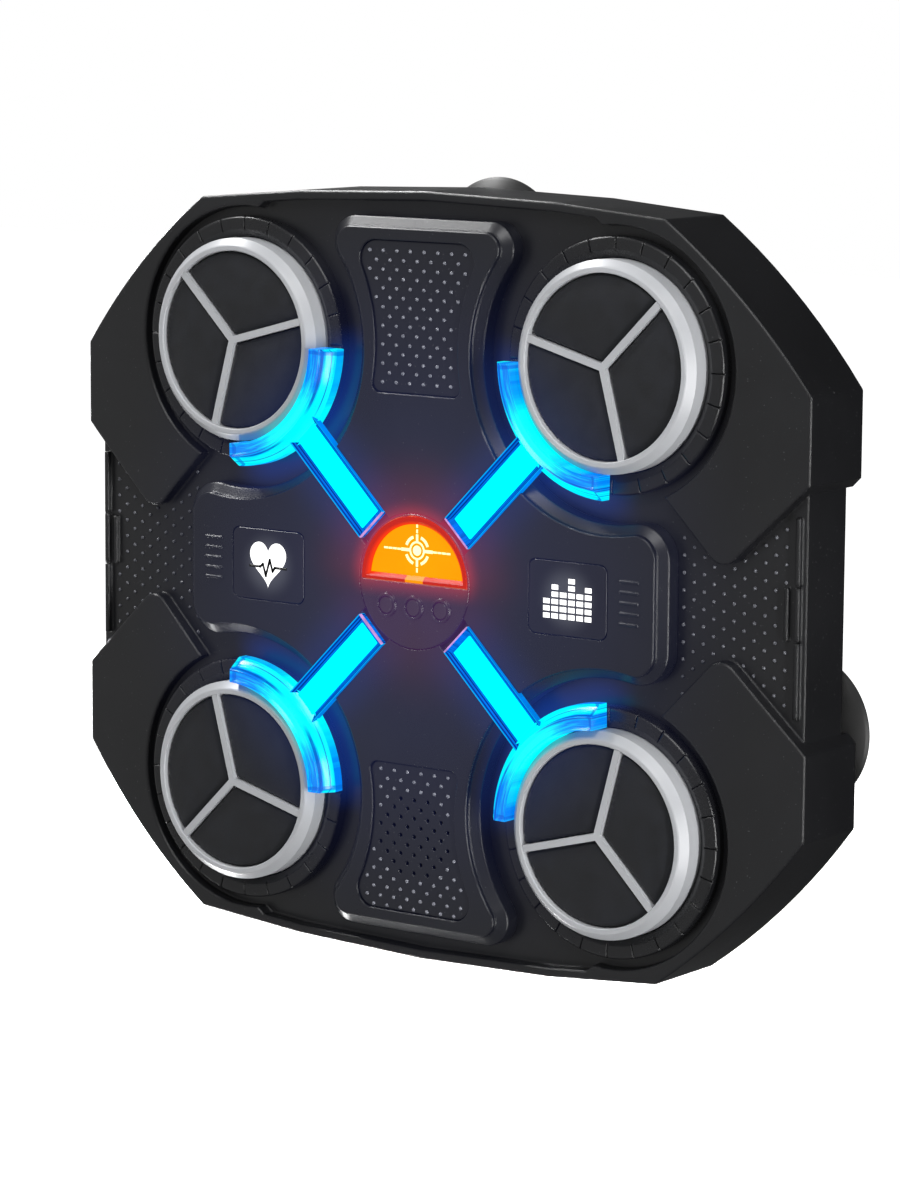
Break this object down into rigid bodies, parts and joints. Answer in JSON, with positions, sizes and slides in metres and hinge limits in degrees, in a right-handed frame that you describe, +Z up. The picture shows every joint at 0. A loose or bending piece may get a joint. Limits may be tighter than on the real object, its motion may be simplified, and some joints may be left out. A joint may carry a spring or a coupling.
{
  "type": "boxing punch machine",
  "caption": "Wall-mounted electronic boxing trainer: round target pads at the corners, glowing light bars from a central hub, buttons, speaker and suction-cup back.",
  "frame": {"origin": "on the wall plane, at the middle of the pad layout", "axes": "+X right as seen from the front, +Z up, +Y into the wall; the front faces -Y"},
  "size_m": [0.3708, 0.065, 0.3259],
  "materials": {
    "shell_black": "satin fine texture",
    "cover_black": "satin fine texture",
    "fascia_black": "satin fine texture",
    "inlay_black": "satin",
    "hub_black": "semi-gloss",
    "button_black": "gloss",
    "window_smoke": "smoked",
    "guide_blue": "clear tinted",
    "lens_amber": "clear tinted",
    "ring_grey": "satin",
    "foam_black": "soft matt",
    "carrier_black": "satin",
    "screw_steel": "plain",
    "spring_steel": "plain",
    "cup_rubber": "glossy",
    "circuit_board": "solder mask",
    "led_white": "plain",
    "battery_wrap": "shrink wrap",
    "speaker_black": "plain",
    "port_steel": "plain",
    "sensor_black": "plain"
  },
  "bodies": {
    "housing": {"front_shell": "shell_black", "rear_cover": "cover_black", "cover_screws": "screw_steel", "center_fascia": "fascia_black", "upper_inlay": "inlay_black", "speaker_grille": "inlay_black", "icon_window_left": "window_smoke", "icon_window_right": "window_smoke", "window_lamps": "circuit_board", "impact_sensors": "sensor_black", "led_strips": "led_white", "hub_bezel": "hub_black", "hub_lens": "lens_amber", "hub_lamp": "circuit_board", "button_board": "circuit_board", "battery_pack": "battery_wrap", "main_board": "circuit_board", "speaker": "speaker_black", "charging_port": "port_steel", "suction_cup_top": "cup_rubber", "suction_cup_left": "cup_rubber", "suction_cup_right": "cup_rubber", "pad_bezel_upper_right": "shell_black", "pad_spring_upper_right": "spring_steel", "light_guide_upper_right": "guide_blue", "pad_bezel_upper_left": "shell_black", "pad_spring_upper_left": "spring_steel", "light_guide_upper_left": "guide_blue", "pad_bezel_lower_left": "shell_black", "pad_spring_lower_left": "spring_steel", "light_guide_lower_left": "guide_blue", "pad_bezel_lower_right": "shell_black", "pad_spring_lower_right": "spring_steel", "light_guide_lower_right": "guide_blue"},
    "pad_upper_right": {"pad_ring_upper_right": "ring_grey", "pad_foam_upper_right": "foam_black", "pad_carrier_upper_right": "carrier_black", "pad_screw_upper_right": "screw_steel"},
    "pad_upper_left": {"pad_ring_upper_left": "ring_grey", "pad_foam_upper_left": "foam_black", "pad_carrier_upper_left": "carrier_black", "pad_screw_upper_left": "screw_steel"},
    "pad_lower_left": {"pad_ring_lower_left": "ring_grey", "pad_foam_lower_left": "foam_black", "pad_carrier_lower_left": "carrier_black", "pad_screw_lower_left": "screw_steel"},
    "pad_lower_right": {"pad_ring_lower_right": "ring_grey", "pad_foam_lower_right": "foam_black", "pad_carrier_lower_right": "carrier_black", "pad_screw_lower_right": "screw_steel"},
    "button_body_left": {"button_left": "button_black"},
    "button_body_centre": {"button_centre": "button_black"},
    "button_body_right": {"button_right": "button_black"}
  },
  "joints": [
    {"name": "pad_press_upper_right", "type": "slide", "parent": "housing", "child": "pad_upper_right", "axis": [0, 1, 0], "range_m": [0, 0.003], "stiffness_N_per_m": 2500, "springref_m": -0.002, "deforming": ["pad_spring_upper_right"]},
    {"name": "pad_press_upper_left", "type": "slide", "parent": "housing", "child": "pad_upper_left", "axis": [0, 1, 0], "range_m": [0, 0.003], "stiffness_N_per_m": 2500, "springref_m": -0.002, "deforming": ["pad_spring_upper_left"]},
    {"name": "pad_press_lower_left", "type": "slide", "parent": "housing", "child": "pad_lower_left", "axis": [0, 1, 0], "range_m": [0, 0.003], "stiffness_N_per_m": 2500, "springref_m": -0.002, "deforming": ["pad_spring_lower_left"]},
    {"name": "pad_press_lower_right", "type": "slide", "parent": "housing", "child": "pad_lower_right", "axis": [0, 1, 0], "range_m": [0, 0.003], "stiffness_N_per_m": 2500, "springref_m": -0.002, "deforming": ["pad_spring_lower_right"]},
    {"name": "button_press_left", "type": "slide", "parent": "housing", "child": "button_body_left", "axis": [0, 1, 0], "range_m": [0, 0.001], "stiffness_N_per_m": 200, "springref_m": -0.002},
    {"name": "button_press_centre", "type": "slide", "parent": "housing", "child": "button_body_centre", "axis": [0, 1, 0], "range_m": [0, 0.001], "stiffness_N_per_m": 200, "springref_m": -0.002},
    {"name": "button_press_right", "type": "slide", "parent": "housing", "child": "button_body_right", "axis": [0, 1, 0], "range_m": [0, 0.001], "stiffness_N_per_m": 200, "springref_m": -0.002}
  ]
}
